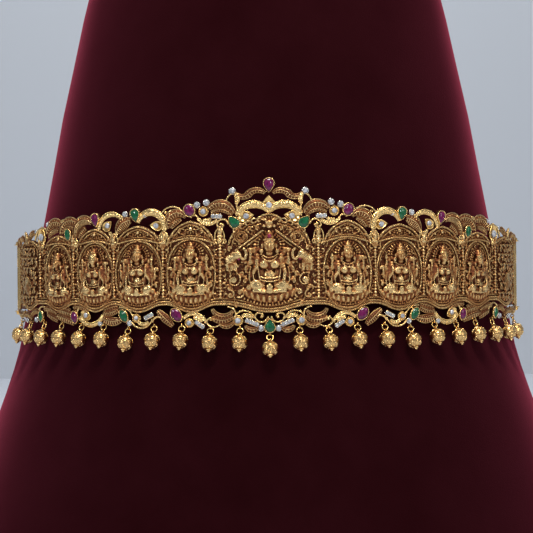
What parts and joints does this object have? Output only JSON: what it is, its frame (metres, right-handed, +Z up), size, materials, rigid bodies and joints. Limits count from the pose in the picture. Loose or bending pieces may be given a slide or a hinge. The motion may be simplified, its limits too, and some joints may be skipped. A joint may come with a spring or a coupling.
{
  "type": "oddiyanam waist belt on a velvet display stand",
  "caption": "Stiff arched temple belt with seated relief figures, coloured stones and hanging gold beads, closed by a plain back band and worn on a tapered velvet form.",
  "frame": {"origin": "centre of the display stand's base, on the table", "axes": "+X to the wearer's left, the right side of the picture; +Y from the belt's front to its back; +Z up"},
  "size_m": [0.3842, 0.3144, 0.36],
  "materials": {
    "velvet": "maroon velvet with a soft nap",
    "antique_gold": "matte antique gold with dark red-brown patina in the recesses",
    "gold": "satin yellow gold",
    "bead_gold": "polished yellow gold with fine wire work",
    "ruby": "cut and polished deep pink-red stone",
    "emerald": "cut and polished deep green stone",
    "white_stone": "brilliant-cut clear stone"
  },
  "bodies": {
    "root": {"display_stand": "velvet", "front_plaque": "antique_gold", "back_band": "gold", "hinge_pin_left": "gold", "hinge_pin_right": "gold", "white_stones": "white_stone", "jump_rings": "gold", "ruby_1": "ruby", "ruby_2": "ruby", "ruby_3": "ruby", "ruby_4": "ruby", "ruby_5": "ruby", "ruby_6": "ruby", "ruby_7": "ruby", "ruby_8": "ruby", "ruby_9": "ruby", "emerald_1": "emerald", "emerald_2": "emerald", "emerald_3": "emerald", "emerald_4": "emerald", "emerald_5": "emerald", "emerald_6": "emerald", "emerald_7": "emerald", "emerald_8": "emerald", "emerald_9": "emerald", "emerald_10": "emerald", "emerald_11": "emerald", "drop_1": "bead_gold", "drop_2": "bead_gold", "drop_3": "bead_gold", "drop_4": "bead_gold", "drop_5": "bead_gold", "drop_6": "bead_gold", "drop_7": "bead_gold", "drop_8": "bead_gold", "drop_9": "bead_gold", "drop_10": "bead_gold", "drop_11": "bead_gold", "drop_12": "bead_gold", "drop_13": "bead_gold", "drop_14": "bead_gold", "drop_15": "bead_gold", "drop_16": "bead_gold", "drop_17": "bead_gold", "drop_18": "bead_gold", "drop_19": "bead_gold", "drop_20": "bead_gold", "drop_21": "bead_gold", "drop_22": "bead_gold", "drop_23": "bead_gold"}
  },
  "joints": []
}
